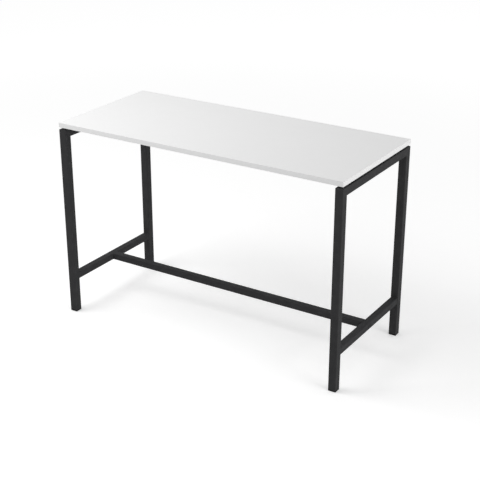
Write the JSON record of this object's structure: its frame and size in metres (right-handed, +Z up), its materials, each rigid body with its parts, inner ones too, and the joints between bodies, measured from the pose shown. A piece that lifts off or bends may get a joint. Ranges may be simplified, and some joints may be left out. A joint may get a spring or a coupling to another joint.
{
  "type": "standing meeting table",
  "caption": "Bar-height rectangular meeting table: white edged worktop floating on a black square-tube frame with a low H-stretcher and levelling feet.",
  "frame": {"origin": "on the floor, under the middle of the worktop", "axes": "+X along the table's length, +Y towards its back long side, +Z up from the floor"},
  "size_m": [1.6, 0.7, 1.05],
  "materials": {
    "worktop_face": "white melamine-faced chipboard, fine matt texture",
    "edging": "white extruded plastic edging, matt",
    "frame_coat": "black powder coat, fine texture, satin-matt",
    "fastener_steel": "zinc-plated steel",
    "black_plastic": "moulded black plastic, fine texture"
  },
  "bodies": {
    "table": {"worktop_board": "worktop_face", "edging_front": "edging", "edging_back": "edging", "edging_left": "edging", "edging_right": "edging", "leg_front_left": "frame_coat", "leg_front_right": "frame_coat", "leg_back_left": "frame_coat", "leg_back_right": "frame_coat", "upper_rail_left": "frame_coat", "lower_rail_left": "frame_coat", "stretcher_end_plate_left": "frame_coat", "stretcher_bolts_left": "fastener_steel", "access_plugs_left": "black_plastic", "rivet_nuts_left": "fastener_steel", "beam_bolts_left": "fastener_steel", "beam_plate_front_left": "frame_coat", "beam_plate_back_left": "frame_coat", "upper_rail_right": "frame_coat", "lower_rail_right": "frame_coat", "stretcher_end_plate_right": "frame_coat", "stretcher_bolts_right": "fastener_steel", "access_plugs_right": "black_plastic", "rivet_nuts_right": "fastener_steel", "beam_bolts_right": "fastener_steel", "beam_plate_front_right": "frame_coat", "beam_plate_back_right": "frame_coat", "stretcher": "frame_coat", "beam_front": "frame_coat", "beam_back": "frame_coat", "top_spacers": "black_plastic", "top_screws": "fastener_steel", "top_inserts": "fastener_steel", "foot_nuts": "fastener_steel", "foot_insert_front_left": "black_plastic", "foot_insert_front_right": "black_plastic", "foot_insert_back_left": "black_plastic", "foot_insert_back_right": "black_plastic"},
    "foot_pad_front_left": {"glide_pad_front_left": "black_plastic"},
    "foot_stud_front_left": {"glide_stud_front_left": "fastener_steel"},
    "foot_pad_front_right": {"glide_pad_front_right": "black_plastic"},
    "foot_stud_front_right": {"glide_stud_front_right": "fastener_steel"},
    "foot_pad_back_left": {"glide_pad_back_left": "black_plastic"},
    "foot_stud_back_left": {"glide_stud_back_left": "fastener_steel"},
    "foot_pad_back_right": {"glide_pad_back_right": "black_plastic"},
    "foot_stud_back_right": {"glide_stud_back_right": "fastener_steel"}
  },
  "joints": [
    {"name": "foot_slide_front_left", "type": "slide", "parent": "table", "child": "foot_pad_front_left", "axis": [0, 0, -1], "range_m": [0, 0.012]},
    {"name": "foot_turn_front_left", "type": "hinge", "parent": "foot_pad_front_left", "child": "foot_stud_front_left", "pos_m": [-0.78, -0.33, 0.02], "axis": [0, 0, -1], "range_deg": [0, 3456]},
    {"name": "foot_slide_front_right", "type": "slide", "parent": "table", "child": "foot_pad_front_right", "axis": [0, 0, -1], "range_m": [0, 0.012]},
    {"name": "foot_turn_front_right", "type": "hinge", "parent": "foot_pad_front_right", "child": "foot_stud_front_right", "pos_m": [0.78, -0.33, 0.02], "axis": [0, 0, -1], "range_deg": [0, 3456]},
    {"name": "foot_slide_back_left", "type": "slide", "parent": "table", "child": "foot_pad_back_left", "axis": [0, 0, -1], "range_m": [0, 0.012]},
    {"name": "foot_turn_back_left", "type": "hinge", "parent": "foot_pad_back_left", "child": "foot_stud_back_left", "pos_m": [-0.78, 0.33, 0.02], "axis": [0, 0, -1], "range_deg": [0, 3456]},
    {"name": "foot_slide_back_right", "type": "slide", "parent": "table", "child": "foot_pad_back_right", "axis": [0, 0, -1], "range_m": [0, 0.012]},
    {"name": "foot_turn_back_right", "type": "hinge", "parent": "foot_pad_back_right", "child": "foot_stud_back_right", "pos_m": [0.78, 0.33, 0.02], "axis": [0, 0, -1], "range_deg": [0, 3456]}
  ],
  "couplings": [
    {"joint": "foot_turn_front_left", "follows": "foot_slide_front_left", "rad_per_m": 5026.5},
    {"joint": "foot_turn_front_right", "follows": "foot_slide_front_right", "rad_per_m": 5026.5},
    {"joint": "foot_turn_back_left", "follows": "foot_slide_back_left", "rad_per_m": 5026.5},
    {"joint": "foot_turn_back_right", "follows": "foot_slide_back_right", "rad_per_m": 5026.5}
  ]
}
